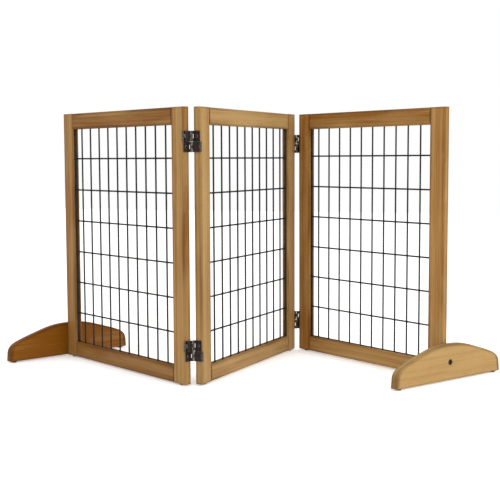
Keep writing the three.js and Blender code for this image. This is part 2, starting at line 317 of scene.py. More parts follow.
woodFigure = {
    "rings": {"Scale": 27, "Distortion": 9, "Detail": 2.5, "Detail Scale": 0.8, "Detail Roughness": 0.6},
    "ringStretch": (0.07, 1, 1),  # the rings change slowly along the board
    "latewoodPower": 2.6,
    "latewoodDepth": 0.15,
    "latewoodHeight": 0.25,
    # each noise: its scale along, across and through, detail, roughness and distortion
    "bands": ((0.9, 75, 75), 3, 0.6, 0.4),  # broad and soft
    "streaks": ((3.2, 420, 420), 4, 0.65, 0),  # narrow, long in the grain
    "fibres": ((16, 1700, 1700), 2, 0.6, 0),
    "pores": ((75, 2300, 2300), 1, 0.5, 0),
    "blotches": ((5, 22, 22), 2, 0.5, 0.3),
    # what part of a noise's range becomes what change
    "bandDepth": (0.32, 0.68, -0.17, 0.13),
    "streakDepth": (0.3, 0.7, -0.14, 0.14),
    "fibreDepth": (0.3, 0.7, -0.09, 0.09),
    "fibreRoughness": (0.3, 0.7, 0.36, 0.5),
    "fibreHeight": 0.5,
    "blotchDepth": (0.33, 0.67, -0.15, 0.12),
    "rubbedStain": (0.3, 0.65, 0.2, 0.55),
    "poreMask": (0.6, 0.74),
    "poreStain": 0.35,
    "poreHeight": 0.7,
    "endStain": 0.55,
    "endRoughness": 0.14,
}


# Sawn wood: growth rings about an axis far to one side, wandering slowly along the
# board, crossed by bands, streaks, fibres and short pores that are noise stretched
# lengthwise. `Depth` moves a whole board from the pale colour towards the deep one.
def makeWoodGroup(values):
    inputs = [("Place", vector), ("Tone", number), ("Depth", number), ("Edge", number), ("End", number)]
    inputs += [("Pale", colour), ("Deep", colour), ("Stain", colour)]
    outputs = [("Color", colour), ("Roughness", number), ("Height", number)]
    tree, given, result = newGroup("woodFigure", inputs, outputs)
    place = given["Place"]

    def stretchedNoise(name):
        scale, detail, roughness, distortion = values[name]
        return noiseOf(tree, scaledPlace(tree, place, scale), 1, detail, roughness, distortion)

    def times(a, b):
        return maths(tree, "MULTIPLY", a, b)

    ringInputs = {"Vector": scaledPlace(tree, place, values["ringStretch"]), **values["rings"]}
    ringStyle = {"wave_type": "RINGS", "rings_direction": "X", "wave_profile": "SAW"}
    wave = addNode(tree, "ShaderNodeTexWave", ringInputs, **ringStyle)
    latewood = maths(tree, "POWER", wave.outputs["Fac"], values["latewoodPower"])
    bands, streaks, fibres = (stretchedNoise(name) for name in ("bands", "streaks", "fibres"))
    pores = ranged(tree, stretchedNoise("pores"), *values["poreMask"])
    blotches = stretchedNoise("blotches")
    figure = maths(tree, "ADD", given["Depth"], times(latewood, values["latewoodDepth"]))
    for noise, depth in ((bands, "bandDepth"), (streaks, "streakDepth"), (fibres, "fibreDepth")):
        figure = maths(tree, "ADD", figure, ranged(tree, noise, *values[depth]))
    figure = maths(tree, "ADD", figure, ranged(tree, blotches, *values["blotchDepth"]))
    body = mixedColour(tree, figure, given["Pale"], given["Deep"])
    edgeMix = times(given["Edge"], ranged(tree, blotches, *values["rubbedStain"]))
    for stained in (times(pores, values["poreStain"]), edgeMix, times(given["End"], values["endStain"])):
        body = mixedColour(tree, stained, body, given["Stain"])
    shade = addNode(tree, "ShaderNodeHueSaturation", {"Color": body, "Value": given["Tone"]})
    tree.links.new(shade.outputs["Color"], result["Color"])
    gloss = ranged(tree, fibres, *values["fibreRoughness"])
    gloss = maths(tree, "ADD", gloss, times(given["End"], values["endRoughness"]))
    tree.links.new(gloss, result["Roughness"])
    fibreHeight, poreDepth = times(fibres, values["fibreHeight"]), times(pores, values["poreHeight"])
    height = maths(tree, "SUBTRACT", fibreHeight, poreDepth)
    height = maths(tree, "ADD", height, times(latewood, values["latewoodHeight"]))
    tree.links.new(height, result["Height"])
    return tree


skinNoise = {
    "grain": (3, 0.6, 0),  # detail, roughness and distortion
    "patch": (3, 0.55, 0.4),
    "mottleRange": (0.36, 0.66),
    "wornRange": (0.32, 0.62),
}


# Mottling for coated and plated parts: two sizes of noise, with brighter worn edges. Where the edge mask
# covers a whole hinge knuckle, this brighter mix is also a painted highlight.
def makeSkinGroup(values):
    inputs = [("Place", vector), ("Edge", number), ("Grain Size", number), ("Patch Size", number)]
    inputs += [("Base", colour), ("Patch", colour), ("Worn", colour), ("Wear", number)]
    outputs = [("Color", colour), ("Mottle", number), ("Worn", number), ("Height", number)]
    tree, given, result = newGroup("skinMottle", inputs, outputs)
    grainScale = maths(tree, "DIVIDE", 1.0, given["Grain Size"])
    patchScale = maths(tree, "DIVIDE", 1.0, given["Patch Size"])
    grain = noiseOf(tree, given["Place"], grainScale, *values["grain"])
    patch = noiseOf(tree, given["Place"], patchScale, *values["patch"])
    mottle = ranged(tree, patch, *values["mottleRange"])
    body = mixedColour(tree, mottle, given["Base"], given["Patch"])
    # this brightens towards the worn colour: wear on edges, and a painted highlight where the mask covers a
    # whole hinge knuckle
    edgeMix = maths(tree, "MULTIPLY", given["Edge"], ranged(tree, grain, *values["wornRange"]))
    edgeMix = maths(tree, "MULTIPLY", edgeMix, given["Wear"])
    body = mixedColour(tree, edgeMix, body, given["Worn"])
    tree.links.new(body, result["Color"])
    tree.links.new(mottle, result["Mottle"])
    tree.links.new(edgeMix, result["Worn"])
    tree.links.new(grain, result["Height"])
    return tree


woodGroup = makeWoodGroup(woodFigure)
skinGroup = makeSkinGroup(skinNoise)


def newMaterial(name):
    material = bpy.data.materials.new(name)
    material.use_nodes = True
    tree = material.node_tree
    return material, tree, tree.nodes["Principled BSDF"]


def attribute(tree, name, output):
    return addNode(tree, "ShaderNodeAttribute", attribute_name=name).outputs[output]


# Heights from 0 to 1 stand for so many metres of relief
def bump(tree, shader, height, distance):
    node = addNode(tree, "ShaderNodeBump", {"Height": height, "Distance": distance, "Strength": 1.0})
    tree.links.new(node.outputs["Normal"], shader.inputs["Normal"])


honeyWood = {
    "pale": (0.395, 0.246, 0.09, 1),
    "deep": (0.185, 0.062, 0.003, 1),
    "stain": (0.075, 0.023, 0.003, 1),
    "specular": 0.09,
    "coat": 0.03,
    "coatRoughness": 0.22,
    "bumpDistance": 0.00012,
}


def makeHoneyWood(values):
    material, tree, shader = newMaterial("honeyWood")
    inputs = {"Place": attribute(tree, "grainPlace", "Vector"), "Tone": attribute(tree, "boardTone", "Fac")}
    inputs["Depth"] = attribute(tree, "boardDepth", "Fac")
    inputs.update({"Edge": attribute(tree, "edgeMask", "Fac"), "End": attribute(tree, "endGrain", "Fac")})
    inputs.update({"Pale": values["pale"], "Deep": values["deep"], "Stain": values["stain"]})
    group = tree.nodes.new("ShaderNodeGroup")
    group.node_tree = woodGroup
    fillInputs(tree, group, inputs)
    tree.links.new(group.outputs["Color"], shader.inputs["Base Color"])
    tree.links.new(group.outputs["Roughness"], shader.inputs["Roughness"])
    shader.inputs["Specular IOR Level"].default_value = values["specular"]
    shader.inputs["Coat Weight"].default_value = values["coat"]
    shader.inputs["Coat Roughness"].default_value = values["coatRoughness"]
    bump(tree, shader, group.outputs["Height"], values["bumpDistance"])
    return material


# One dictionary per coated or plated finish, all built by the same function
skinFinishes = {
    "blackPowderCoat": {
        "base": (0.009, 0.0085, 0.009, 1), "patch": (0.014, 0.013, 0.013, 1),
        "worn": (0.05, 0.048, 0.046, 1), "wear": 0.0, "grain": 0.0009, "patchSize": 0.02,
        "rough": (0.38, 0.52), "metal": 0.0, "specular": 0.2, "bumpDistance": 0.00008,
    },
    "agedBronze": {
        "base": (0.036, 0.026, 0.02, 1), "patch": (0.014, 0.0105, 0.009, 1),
        # the worn colour is edge wear, and on the hinge knuckles also a painted highlight
        "worn": (0.33, 0.26, 0.22, 1), "wear": 0.6, "grain": 0.0016, "patchSize": 0.004,
        "rough": (0.3, 0.46), "metal": 0.85, "specular": 0.3, "bumpDistance": 0.00006,
    },
    "screwBronze": {
        "base": (0.06, 0.045, 0.036, 1), "patch": (0.03, 0.022, 0.018, 1),
        "worn": (0.35, 0.28, 0.24, 1), "wear": 0.6, "grain": 0.0005, "patchSize": 0.003,
        "rough": (0.26, 0.4), "metal": 0.9, "specular": 0.3, "bumpDistance": 0.00004,
    },
    "blackOxide": {
        "base": (0.01, 0.01, 0.011, 1), "patch": (0.016, 0.015, 0.015, 1),
        "worn": (0.08, 0.08, 0.08, 1), "wear": 0.25, "grain": 0.0006, "patchSize": 0.005,
        "rough": (0.32, 0.46), "metal": 0.7, "specular": 0.25, "bumpDistance": 0.00004,
    },
    "blackRubber": {
        "base": (0.016, 0.016, 0.016, 1), "patch": (0.026, 0.025, 0.024, 1),
        "worn": (0.06, 0.058, 0.055, 1), "wear": 0.4, "grain": 0.0008, "patchSize": 0.004,
        "rough": (0.72, 0.88), "metal": 0.0, "specular": 0.25, "bumpDistance": 0.0001,
    },
}


def makeSkin(name, values):
    material, tree, shader = newMaterial(name)
    place = addNode(tree, "ShaderNodeTexCoord").outputs["Object"]
    group = tree.nodes.new("ShaderNodeGroup")
    group.node_tree = skinGroup
    tree.links.new(place, group.inputs["Place"])
    tree.links.new(attribute(tree, "edgeMask", "Fac"), group.inputs["Edge"])
    constants = {"Grain Size": "grain", "Patch Size": "patchSize", "Base": "base", "Patch": "patch"}
    constants.update({"Worn": "worn", "Wear": "wear"})
    for socket, key in constants.items():
        group.inputs[socket].default_value = values[key]
    tree.links.new(group.outputs["Color"], shader.inputs["Base Color"])
    smooth, rough = values["rough"]
    gloss = ranged(tree, group.outputs["Mottle"], 0, 1, rough, smooth)
    tree.links.new(gloss, shader.inputs["Roughness"])
    shader.inputs["Metallic"].default_value = values["metal"]
    shader.inputs["Specular IOR Level"].default_value = values["specular"]
    bump(tree, shader, group.outputs["Height"], values["bumpDistance"])
    return material


looks = {name: makeSkin(name, values) for name, values in skinFinishes.items()}
looks["honeyWood"] = makeHoneyWood(honeyWood)
print("materials made")

# ---- turning shells into pieces

meshFinish = {"sharpAngle": 40, "normalWeight": 100}  # degrees, and how far large faces lead


# Joins shells into one mesh. Wood also gets its grain place, which is the point along,
# across and through the board plus an offset that moves it to its own part of the tree.
def makePiece(name, shells, axes, body, look, replaced=(), wood=None):
    counts = np.cumsum([0] + [len(shell["points"]) for shell in shells])
    local = np.concatenate([shell["points"] for shell in shells])
    faces = []
    for shell, start in zip(shells, counts):
        faces += [[int(k + start) for k in face] for face in shell["faces"]]
    mesh = bpy.data.meshes.new(name)
    mesh.from_pydata(toWorld(local, axes).tolist(), [], faces)
    masks = np.concatenate([shell["masks"] for shell in shells])
    storeNumber(mesh, "edgeMask", masks[:, 0])
    if wood:
        storeNumber(mesh, "endGrain", masks[:, 1])
        storeNumber(mesh, "boardTone", np.full(len(local), wood["tone"]))
        storeNumber(mesh, "boardDepth", np.full(len(local), wood["depth"]))
        place = local[:, wood["order"]] + np.asarray(wood["offset"])
        grainPlace = mesh.attributes.new("grainPlace", "FLOAT_VECTOR", "POINT")
        grainPlace.data.foreach_set("vector", place.ravel())
    mesh.polygons.foreach_set("use_smooth", np.ones(len(mesh.polygons), bool))
    mesh.set_sharp_from_angle(angle=math.radians(meshFinish["sharpAngle"]))
    mesh.materials.append(looks[look])
    mesh.validate()
    piece = bpy.data.objects.new(name, mesh)
    bpy.context.scene.collection.objects.link(piece)
    even = piece.modifiers.new("evenShading", "WEIGHTED_NORMAL")
    even.keep_sharp, even.weight = True, meshFinish["normalWeight"]
    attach(piece, body)
    if replaced:
        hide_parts(*replaced)
    return piece


# One number for each vertex, which a material reads by its name
def storeNumber(mesh, name, values):
    mesh.attributes.new(name, "FLOAT", "POINT").data.foreach_set("value", np.asarray(values, float))


# ---- the wooden frames

boardShape = {
    "edgeRadius": 0.003,
    "endEase": 0.0008,
    "tenonFit": 0.0003,
    "grooveRadius": 0.0009,
    "tenonRecess": 0.00015,  # keeps the tenons' faces out of the rail's own
    "tenonRadius": 0.0003,
    "tenonFade": 0.001,
    "tenonOverlap": 0.002,  # how far a tenon runs on into its rail
    "tenonWear": 0.2,
    "stileGroove": 0.009,
    "railGroove": 0.012,
    "shoulderGap": 0.00008,
    "shoulderEase": 0.0002,
    "easeSteps": 2,
}

# How each board differs: brightness, and how deep its colour is from pale to deep. Mostly the wood's own
# tone, but the feet also carry painted light
boardTonesAndPaintedLight = {
    "left_left_stile": (1.0, 0.6), "left_right_stile": (1.04, 0.5),
    "left_top_rail": (0.94, 0.84), "left_bottom_rail": (0.9, 0.8),
    "mid_left_stile": (1.0, 0.24), "mid_right_stile": (1.12, 0.3),
    "mid_top_rail": (0.96, 0.1), "mid_bottom_rail": (1.02, 0.3),
    "right_left_stile": (1.3, 0.66), "right_right_stile": (1.2, 0.46),
    "right_top_rail": (1.12, 0.6), "right_bottom_rail": (1.16, 0.54),
    # painted light: the left foot's deep colour is partly its own darker wood and partly painted shade from
    # standing behind the panels; the right foot's pale colour is partly paler wood and partly the key
    # light's sheen painted on its outer face
    "left_foot": (1.12, 0.98), "right_foot": (1.02, 0.0),
}
grainDraw = np.random.default_rng(11)
grainRange = {"low": (0, 0.012, 0.03), "high": (6, 0.05, 0.11)}  # along, aside and below


# Where in the tree a board was cut: a drawn distance on each axis, to either side
def woodCut(name, order):
    run, aside, below = grainDraw.uniform(grainRange["low"], grainRange["high"])
    sign = grainDraw.choice((-1, 1))
    tone, depth = boardTonesAndPaintedLight[name]
    return {"tone": tone, "depth": depth, "order": order, "offset": (run, sign * aside, below)}


# The tenons are the only part of a rail that stands beyond its shoulders
def tenonBox(panel, level):
    axes = panels[panel]
    points = nodePoints(f"{panel}_{level}_rail", axes)
    beyond = points[points[:, 0] < localBox(f"{panel}_left_stile", axes)[1][0]]
    return beyond.min(0), beyond.max(0)


# A board's section: a rectangle from (0, -t) to (depth, t) with eased long edges, and a
# groove down the middle of the edge at `depth`, where `facing` says which way it looks
def groovedSection(depth, thickness, groove, grooveWidth, facing, values):
    t, g, r = thickness / 2, grooveWidth / 2, values["grooveRadius"]
    corners = [(0, -t), (depth, -t), (depth, -g), (depth - groove, -g)]
    corners += [(depth - groove, g), (depth, g), (depth, t), (0, t)]
    radii = [values["edgeRadius"]] * 2 + [r] * 4 + [values["edgeRadius"]] * 2
    outline, edge = roundedOutline(corners, radii)
    if facing < 0:
        outline, edge = outline[::-1] * (-1, 1), edge[::-1]
    return outline, edge


# A stile is its grooved section carried straight up from its low end to its high end
def makeStile(panel, end, values):
    axes, node = panels[panel], f"{panel}_{end}_stile"
    low, high = localBox(node, axes)
    facing = 1 if end == "left" else -1
    tenonLow, tenonHigh = tenonBox(panel, "bottom")
    grooveWidth = tenonHigh[1] - tenonLow[1] + 2 * values["tenonFit"]
    outline, edge = groovedSection(
        high[0] - low[0], high[1] - low[1], values["stileGroove"], grooveWidth, facing, values
    )
    outline = outline + (low[0] if facing > 0 else high[0], (low[1] + high[1]) / 2)
    shell = easedPrism(outline, edge, low[2], high[2], values["endEase"], endGrain=True)
    wood = woodCut(node, [2, 0, 1])
    makePiece(f"{node}_board", [shell], axes, panelBodies[panel], "honeyWood", [node], wood)


# A rail is its section carried from shoulder to shoulder, and a tenon is a smaller
# rectangle carried from inside the rail out to its end
def makeRail(panel, level, values):
    axes, node = panels[panel], f"{panel}_{level}_rail"
    low, high = localBox(node, axes)
    start = localBox(f"{panel}_left_stile", axes)[1][0] + values["shoulderGap"]
    stop = localBox(f"{panel}_right_stile", axes)[0][0] - values["shoulderGap"]
    facing = 1 if level == "bottom" else -1
    depth, middle = high[2] - low[2], (low[1] + high[1]) / 2
    tenonLow, tenonHigh = tenonBox(panel, level)
    grooveWidth = tenonHigh[1] - tenonLow[1] + 2 * values["tenonFit"]
    thickness, groove = high[1] - low[1], values["railGroove"]
    section, edge = groovedSection(depth, thickness, groove, grooveWidth, facing, values)
    # the section's depth stands up, so it is drawn as (through, up)
    foot = low[2] if facing > 0 else high[2]
    outline = np.stack((middle - section[:, 1], foot + section[:, 0]), 1)
    steps, radius, overlap = values["easeSteps"], values["tenonRadius"], values["tenonOverlap"]
    shells = [reordered(easedPrism(outline, edge, start, stop, values["shoulderEase"], steps), alongX)]
    near, bottom = tenonLow[1:] + values["tenonRecess"]
    far, top = tenonHigh[1:] - values["tenonRecess"]
    corners = [(near, bottom), (far, bottom), (far, top), (near, top)]
    tenon, tenonEdge = roundedOutline(corners, radius, steps, values["tenonFade"])
    for reach in ((low[0], start + overlap), (stop - overlap, high[0])):
        peg = reordered(easedPrism(tenon, tenonEdge, *reach, radius, steps), alongX)
        shells.append({**peg, "masks": peg["masks"] * values["tenonWear"]})
    wood = woodCut(node, [0, 2, 1])
    makePiece(f"{node}_board", shells, axes, panelBodies[panel], "honeyWood", [node], wood)


for panelName in panels:
    for endName in ("left", "right"):
        makeStile(panelName, endName, boardShape)
    for levelName in ("bottom", "top"):
        makeRail(panelName, levelName, boardShape)
print("frames made")

# ---- the welded wire

wireShape = {
    "sides": 12,
    "beadAcross": 0.00235,
    "beadThrough": 0.0019,
    "beadRings": 5,
    "beadSides": 8,
    "beadCut": 0.06,  # the part of a half turn left off at each pole
    "sameFace": 0.0001,  # points closer than this lie on one face
    "sameEdge": 0.0002,
    "decimals": 5,
}


# Wire centres along one axis: the infill's points at the wires' cut ends come in pairs,
# one pair of edges for each wire
def wireCentres(points, axis, cutAxis, values):
    atEnd = points[:, cutAxis] < points[:, cutAxis].min() + values["sameFace"]
    edges = np.unique(np.round(points[atEnd, axis], values["decimals"]))
    low = edges[np.concatenate(([True], np.diff(edges) > values["sameEdge"]))]
    return (low[0::2] + low[1::2]) / 2


# The plainest turned shape: two circles of one radius
def straightWire(radius, low, high, sides):
    return turned([(radius, low), (radius, high)], sides)


# A weld bead is an ellipsoid: circles of radius sin(a) at height cos(a), scaled
def weldBead(values):
    a = np.linspace(np.pi * (1 - values["beadCut"]), np.pi * values["beadCut"], values["beadRings"])
    profile = np.stack((np.sin(a) * values["beadAcross"], np.cos(a) * values["beadThrough"]), 1)
    return reordered(turned(profile, values["beadSides"]), alongY)


# Upright wires in the front layer, lying wires in the back one, and at every crossing
# a bead midway between the layers
def makeInfill(panel, values):
    axes, node = panels[panel], f"{panel}_wire_infill"
    points = nodePoints(node, axes)
    low, high = points.min(0), points.max(0)
    uprights = wireCentres(points, 0, 2, values)
    crossings = wireCentres(points, 2, 0, values)
    front = points[points[:, 2] < low[2] + values["sameFace"]][:, 1]
    back = points[points[:, 0] < low[0] + values["sameFace"]][:, 1]
    radius = (front.max() - front.min()) / 2
    frontLayer, backLayer = (front.max() + front.min()) / 2, (back.max() + back.min()) / 2
    sides = values["sides"]
    standing = straightWire(radius, low[2], high[2], sides)
    shells = [shifted(standing, (x, frontLayer, 0)) for x in uprights]
    lying = reordered(straightWire(radius, low[0], high[0], sides), alongX)
    shells += [shifted(lying, (0, backLayer, z)) for z in crossings]
    bead, middle = weldBead(values), (frontLayer + backLayer) / 2
    shells += [shifted(bead, (x, middle, z)) for x in uprights for z in crossings]
    makePiece(f"{panel}_welded_wire", shells, axes, panelBodies[panel], "blackPowderCoat", [node])
    return len(uprights), len(crossings)


for panelName in panels:
    print("wire infill", panelName, makeInfill(panelName, wireShape))

# ---- the cross feet, their bolts and the glides

footShape = {
    # three curves, as parts of the half length and the height
    "shoulder": ((0, 1), (0.28, 1), (0.38, 0.91), (0.62, 0.76)),  # cubic
    "slope": ((0.62, 0.76), (0.75, 0.68), (0.88, 0.57)),  # quadratic
    "toe": ((0.88, 0.57), (0.95, 0.5), (1, 0.4)),  # cubic, down to the toe's height
    "toeHeight": 0.018,
    "soleRadius": 0.0025,
    "topEase": 0.0045,
    "soleEase": 0.002,
    "curveSteps": 14,
    "heelSteps": 5,
    "soleSteps": 12,
    "easeSteps": 5,
    "faceInset": 0.05,  # how far a face's inner outline moves towards the bolt
    "edgeFade": 0.003,
    "endSharpness": 6,  # how quickly end grain gives way to side grain
    "counterbore": 0.0063,
    "counterboreDepth": 0.0043,
    "counterboreEase": 0.0003,
    "counterboreFade": 0.001,
    "boltHole": 0.0033,
}


# A Bezier curve of any degree: the control points weighted by Bernstein's polynomials
def bezier(controls, steps):
    controls = np.asarray(controls, float)
    degree = len(controls) - 1
    t = np.linspace(0, 1, steps + 1)[:, None]
    k = np.arange(degree + 1)
    weights = np.array([math.comb(degree, n) for n in k]) * t**k * (1 - t) ** (degree - k)
    return weights @ controls


# Half of the foot's outline from the middle of its sole round the toe to its crown,
# then mirrored. The last column is how far its long edges are eased.
def footOutline(length, height, values):
    size, steps = np.array((length / 2, height)), values["curveSteps"]
    toe = (1, values["toeHeight"] / height)
    curves = [bezier(values["shoulder"], steps), bezier(values["slope"], steps)[1:]]
    curves.append(bezier((*values["toe"], toe), steps)[1:])
    crownToToe = np.concatenate(curves) * size
    r, soleSteps = values["soleRadius"], values["soleSteps"]
    angle = np.linspace(0, -np.pi / 2, values["heelSteps"])[:, None]
    centre = np.array((length / 2 - r, r))
    heel = centre + r * np.concatenate((np.cos(angle), np.sin(angle)), 1)
    sole = np.stack((np.linspace(length / 2 - 2 * r, 0, soleSteps), np.zeros(soleSteps)), 1)
    half = np.concatenate((crownToToe, heel, sole))
    topEase = np.full(len(crownToToe), values["topEase"])
    ease = np.concatenate((topEase, np.full(len(heel) + soleSteps, values["soleEase"])))
    right, rightEase = half[::-1], ease[::-1]
    left, leftEase = half[1:-1] * (-1, 1), ease[1:-1]
    return np.concatenate((right, left)), np.concatenate((rightEase, leftEase))


# The foot is one looped run of rings: out over the inner face, round the eased edge,
# in over the outer face, then down the counterbore and the bolt hole. The circles keep
# the outline's bearings from the bolt, so that every face is a plain quad. End grain
# shows on the rim as a high power of how squarely the rim faces lengthwise.
def footShell(inner, outer, outline, ease, bolt, values):
    normals = outlineNormals(outline)
    bearing = outline - bolt
    bearing = bearing / np.linalg.norm(bearing, axis=1, keepdims=True)

    def ring(points, x, edge):
        x = np.broadcast_to(np.asarray(x, float), len(points))
        return np.column_stack((x, points)), np.full(len(points), float(edge))

    angle = np.linspace(0, np.pi / 2, values["easeSteps"] + 1)
    side = [(ease * (1 - np.sin(a)), ease * (1 - np.cos(a))) for a in angle]
    eased = outline - ease[:, None] * normals
    within = eased + (bolt - eased) * values["faceInset"]
    hole, bore = bolt + bearing * values["boltHole"], bolt + bearing * values["counterbore"]
    fade, lip, floor = values["edgeFade"], values["counterboreEase"], outer - values["counterboreDepth"]
    rings = [ring(hole, inner, 0), ring(within, inner, 0)]
    rimStart = len(rings)
    rings += [ring(outline - inset[:, None] * normals, inner + rise, 1) for inset, rise in side]
    rings += [ring(outline, inner + ease + fade, 0), ring(outline, outer - ease - fade, 0)]
    rings += [ring(outline - inset[:, None] * normals, outer - rise, 1) for inset, rise in side[::-1]]
    rimStop = len(rings)
    rings.append(ring(within, outer, 0))
    rings.append(ring(bolt + bearing * (values["counterbore"] + values["counterboreFade"]), outer, 0))
    rings.append(ring(bolt + bearing * (values["counterbore"] + lip), outer, 1))
    rings += [ring(bore, outer - lip, 1), ring(bore, floor, 1), ring(hole, floor, 1)]
    points = np.stack([points for points, _ in rings])
    edges = np.stack([edge for _, edge in rings])
    ends = np.abs(normals[:, 0]) ** values["endSharpness"]
    masks = np.stack((edges, np.broadcast_to(ends.clip(0, 1), edges.shape)), 2)
    onRim = np.zeros(len(rings))
    onRim[rimStart:rimStop] = 1
    masks[:, :, 1] *= onRim[:, None]
    return ringShell(points, masks, looped=True)


# The outline stands about the middle of the foot's own box, and its holes about the
# middle of the bolt's
def makeFoot(panel, outwards, values):
    axes, node = endAxes(panel, outwards), f"{panel}_foot"
    low, high = localBox(node, axes)
    boltLow, boltHigh = localBox(f"{panel}_foot_bolt", axes)
    outline, ease = footOutline(high[1] - low[1], high[2] - low[2], values)
    outline = outline + ((low[1] + high[1]) / 2, low[2])
    bolt = (boltLow[1:] + boltHigh[1:]) / 2
    shell = footShell(low[0], high[0], outline, ease, bolt, values)
    wood = woodCut(node, [1, 2, 0])
    makePiece(f"{node}_board", [shell], axes, panelBodies[panel], "honeyWood", [node], wood)


boltShape = {
    "sides": 36,
    "headRadius": 0.006,
    "headHeight": 0.004,
    "rim": 0.0007,
    "socketFlat": 0.002,
    "socketDepth": 0.0026,
    "socketEase": 0.0003,
    "rimRings": (0.2, 1, 4),  # from, to and how many, in quarter turns
    "shankRadius": 0.003,
    "shankEase": 0.0006,
}


# A stack of rings about x: the hexagon socket's radius at each bearing is its flat's
# distance over the cosine of the bearing from the middle of that flat
def makeBolt(panel, outwards, values):
    axes, node = turnedHalfRound(endAxes(panel, outwards)), f"{panel}_foot_bolt"
    low, high = localBox(node, axes)
    bearing = np.linspace(0, 2 * np.pi, values["sides"], endpoint=False)
    fromFlat = np.mod(bearing, np.pi / 3) - np.pi / 6
    hexagon = values["socketFlat"] / np.cos(fromFlat)
    r, rim, circle = values["headRadius"], values["rim"], np.ones(values["sides"])
    lip, shank, taper = values["socketEase"], values["shankRadius"], values["shankEase"]
    steps = [(hexagon, values["socketDepth"]), (hexagon, lip), (hexagon + lip, 0)]
    steps += [((r - rim) * circle, 0)]
    for a in np.linspace(*values["rimRings"]) * np.pi / 2:
        steps.append(((r - rim + rim * np.sin(a)) * circle, rim * (1 - np.cos(a))))
    rimStop = len(steps)
    steps += [(r * circle, values["headHeight"]), (shank * circle, values["headHeight"])]
    reach = high[0] - low[0]
    steps += [(shank * circle, reach - taper), ((shank - taper) * circle, reach)]
    rings = np.stack([
        np.column_stack((radius * np.cos(bearing), radius * np.sin(bearing), np.full(len(bearing), height)))
        for radius, height in steps
    ])
    edge = np.zeros((len(steps), values["sides"], 2))
    edge[1:rimStop, :, 0] = 1
    middle = (low + high) / 2
    shell = shifted(reordered(ringShell(rings, edge), alongX), (low[0], middle[1], middle[2]))
    makePiece(f"{node}_socket_head", [shell], axes, panelBodies[panel], "blackOxide", [node])


padShape = {
    "sides": 32,
    "rim": 0.0006,
    "rimSteps": 5,
    "dimple": 0.35,  # as a part of the radius
    "dimpleFloor": 0.7,  # as a part of the dimple
    "dimpleDepth": 0.0006,
}


# A turned rubber button: a flat foot with a rounded rim, and a shallow dimple below
# where its nail goes in
def makePad(node, body, values):
    low, high = (np.array(corner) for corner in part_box(node))
    radius, tall, rim = (high[0] - low[0]) / 2, high[2] - low[2], values["rim"]
    a = np.linspace(0, np.pi / 2, values["rimSteps"])
    lowRim = np.stack((radius - rim + rim * np.sin(a), rim * (1 - np.cos(a))), 1)
    highRim = lowRim[::-1] * (1, -1) + (0, tall)
    dimple = radius * values["dimple"]
    hollow = [(dimple * values["dimpleFloor"], values["dimpleDepth"]), (dimple, 0)]
    shell = turned(np.concatenate((hollow, lowRim, highRim)), values["sides"])
    middle = (low + high) / 2
    axes = {"origin": np.array((middle[0], middle[1], low[2])), "rows": np.eye(3)}
    makePiece(f"{node}_button", [shell], axes, body, "blackRubber", [node])


for panelName, direction in (("left", -1), ("right", 1)):
    makeFoot(panelName, direction, footShape)
    makeBolt(panelName, direction, boltShape)
    for padName in ("a", "b"):
        makePad(f"{panelName}_foot_pad_{padName}", panelBodies[panelName], padShape)
for panelName in panels:
    for endName in ("left", "right"):
        makePad(f"{panelName}_{endName}_glide", panelBodies[panelName], padShape)
for panelName in ("left", "right"):
    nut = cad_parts[f"{panelName}_insert_nut"]
    nut.data.materials.clear()
    nut.data.materials.append(looks["blackOxide"])
print("feet, bolts and glides made")

# ---- the double-action hinges

hingeShape = {
    "sheet": 0.001,
    "seat": 0.0003,
    "edgeInset": 0.0005,
    "leafRadius": 0.0009,
    "webRadius": 0.0012,
    "rim": 0.0005,
    "fade": 0.001,
    "barrel": 0.0024,
    "knuckle": 0.007,
    "gap": 0.0003,
    "curlTurn": 290,  # degrees that the sheet is rolled round the pin
    "curlSteps": 20,
    "curlThinning": 0.96,
    # mask over each whole knuckle and link barrel: edge wear, and also a painted highlight that lightens
    # the barrels
    "knuckleWearAndHighlight": 0.6,
    "neckReach": (0.0045, 0.001),  # from and to, short of the pin
    "neckRise": 0.6,
    "neckSteps": 4,
    "linkNeck": 0.8,  # a little thinner than the web that it runs into
    "ballSteps": 29,
    "ease": 0.00018,
    "easeSteps": 2,
    "webShoulder": 0.0033,
    "openRelief": 0.004,
    "pinRadius": 0.0012,
    "pinDome": 0.0005,
    "pinSides": 20,
    "domeRings": (0.15, 1, 5),  # from, to and how many, in quarter turns
    "screwQuarters": (0.25, 0.75),  # as parts of the leaf's height
}


# The outline of a bent sheet: its middle line moved half a thickness to either side
def sheetOutline(middleLine, thickness):
    ahead = np.gradient(middleLine, axis=0)
    ahead /= np.linalg.norm(ahead, axis=1, keepdims=True)
    aside = np.stack((-ahead[:, 1], ahead[:, 0]), 1) * thickness / 2
    return counterClockwise(np.concatenate((middleLine + aside, (middleLine - aside)[::-1])))


